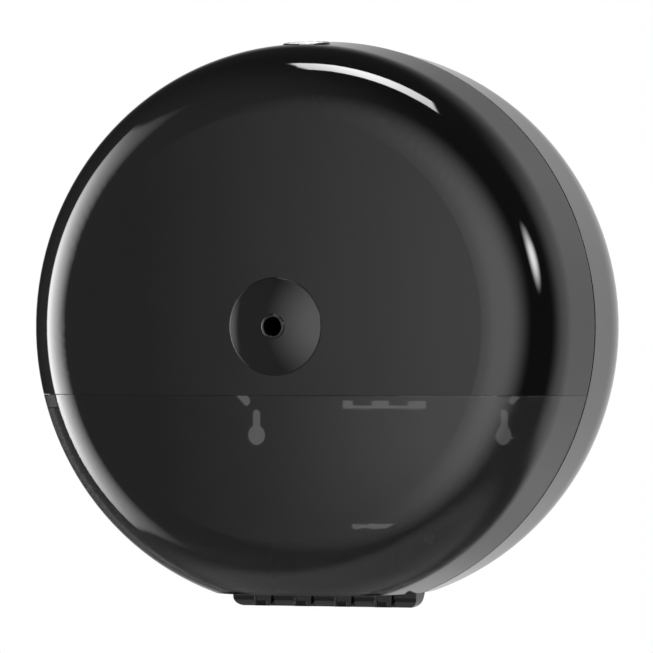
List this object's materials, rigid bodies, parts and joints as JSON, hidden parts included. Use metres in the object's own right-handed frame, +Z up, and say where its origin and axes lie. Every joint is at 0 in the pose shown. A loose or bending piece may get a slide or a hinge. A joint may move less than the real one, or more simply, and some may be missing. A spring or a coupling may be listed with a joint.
{
  "type": "toilet paper dispenser",
  "caption": "Round wall-mounted centre-feed toilet paper dispenser: black drum cover hinged at the bottom, smoke level window, domed nozzle and push-button key latch on top.",
  "frame": {"origin": "on the drum's axis in the wall plane", "axes": "+X to the right seen from the front, +Y into the wall, +Z up; the nozzle points along -Y"},
  "size_m": [0.269, 0.156, 0.267],
  "materials": {
    "gloss_black": "polished",
    "smoke": "polished smoke tint",
    "housing_black": "polished",
    "nozzle_black": "satin gloss",
    "ring_black": "polished",
    "inner_grey": "fine moulded texture",
    "inner_white": "satin acetal",
    "steel": "bright zinc",
    "lock_silver": "satin nickel"
  },
  "bodies": {
    "housing": {"back_housing": "housing_black", "hinge_pin": "steel", "roll_cradle": "inner_grey", "cradle_screws": "steel", "latch_keeper": "steel", "keeper_screws": "steel"},
    "cover": {"cover_shell": "gloss_black", "level_window": "smoke", "nozzle_dome": "nozzle_black", "outlet_ring": "ring_black", "nozzle_retainer": "inner_grey", "lock_housing": "inner_grey", "lock_screws": "steel", "lever_pin": "steel", "latch_spring": "steel", "button_springs": "steel"},
    "button": {"lock_button": "lock_silver"},
    "key": {"key_barrel": "lock_silver", "lock_cam": "steel", "cam_screw": "steel"},
    "lever": {"latch_lever": "inner_white"}
  },
  "joints": [
    {"name": "cover_hinge", "type": "hinge", "parent": "housing", "child": "cover", "pos_m": [0, -0.0815, -0.1275], "axis": [1, 0, 0], "range_deg": [0, 150]},
    {"name": "button_press", "type": "slide", "parent": "cover", "child": "button", "axis": [0, 0, -1], "range_m": [0, 0.004], "stiffness_N_per_m": 1000, "springref_m": -0.002, "deforming": ["button_springs"]},
    {"name": "key_turn", "type": "hinge", "parent": "button", "child": "key", "pos_m": [0, -0.1106, 0.13], "axis": [0, 0, 1], "range_deg": [0, 90]},
    {"name": "latch_rock", "type": "hinge", "parent": "cover", "child": "lever", "pos_m": [0, -0.0998, 0.1185], "axis": [1, 0, 0], "range_deg": [0, 17], "stiffness_Nm_per_rad": 0.08, "springref_deg": -2.86, "deforming": ["latch_spring"]}
  ],
  "couplings": [
    {"joint": "latch_rock", "follows": "button_press", "rad_per_m": 74}
  ]
}
